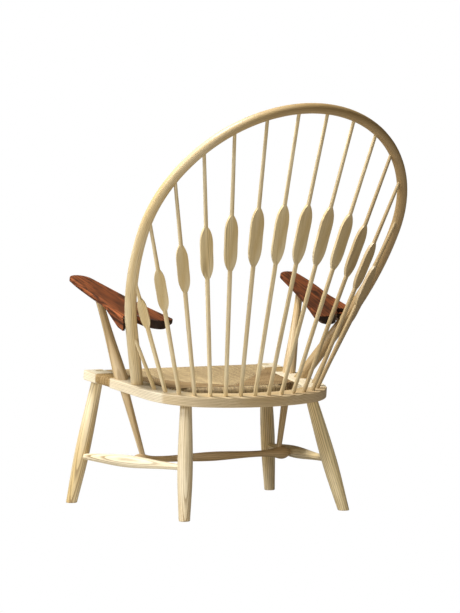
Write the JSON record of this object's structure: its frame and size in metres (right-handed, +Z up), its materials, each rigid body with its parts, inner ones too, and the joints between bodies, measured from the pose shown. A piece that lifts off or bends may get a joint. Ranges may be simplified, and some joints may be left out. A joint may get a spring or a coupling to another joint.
{
  "type": "hoop-back spindle armchair",
  "caption": "Low wide armchair with a bent hoop back on flattened spindles, turned splayed legs, sloping shaped arms and a flat woven cord seat.",
  "frame": {"origin": "on the floor, under the middle of the chair's outer box", "axes": "+Z up, the chair faces -Y, the sitter's left is +X"},
  "size_m": [0.7638, 0.7646, 1.0433],
  "materials": {
    "ash": "soaped matt",
    "arm_wood": "oiled satin",
    "bar_wood": "plain",
    "wedge_wood": "plain",
    "cord": "matt twisted paper cord"
  },
  "bodies": {
    "root": {"arm_post_left": "ash", "arm_post_right": "ash", "armrest_left": "arm_wood", "armrest_right": "arm_wood", "back_hoop": "ash", "cord_seat": "cord", "cross_stretcher": "ash", "front_bar": "bar_wood", "leg_front_left": "ash", "leg_front_right": "ash", "leg_rear_left": "ash", "leg_rear_right": "ash", "rear_bar": "bar_wood", "seat_rail": "ash", "side_stretcher_left": "ash", "side_stretcher_right": "ash", "spindle_01": "ash", "spindle_02": "ash", "spindle_03": "ash", "spindle_04": "ash", "spindle_05": "ash", "spindle_06": "ash", "spindle_07": "ash", "spindle_08": "ash", "spindle_09": "ash", "spindle_10": "ash", "spindle_11": "ash", "spindle_12": "ash", "spindle_13": "ash", "spindle_14": "ash", "spindle_15": "ash", "spindle_16": "ash", "tenon_wedge_left": "wedge_wood", "tenon_wedge_right": "wedge_wood"}
  },
  "joints": []
}
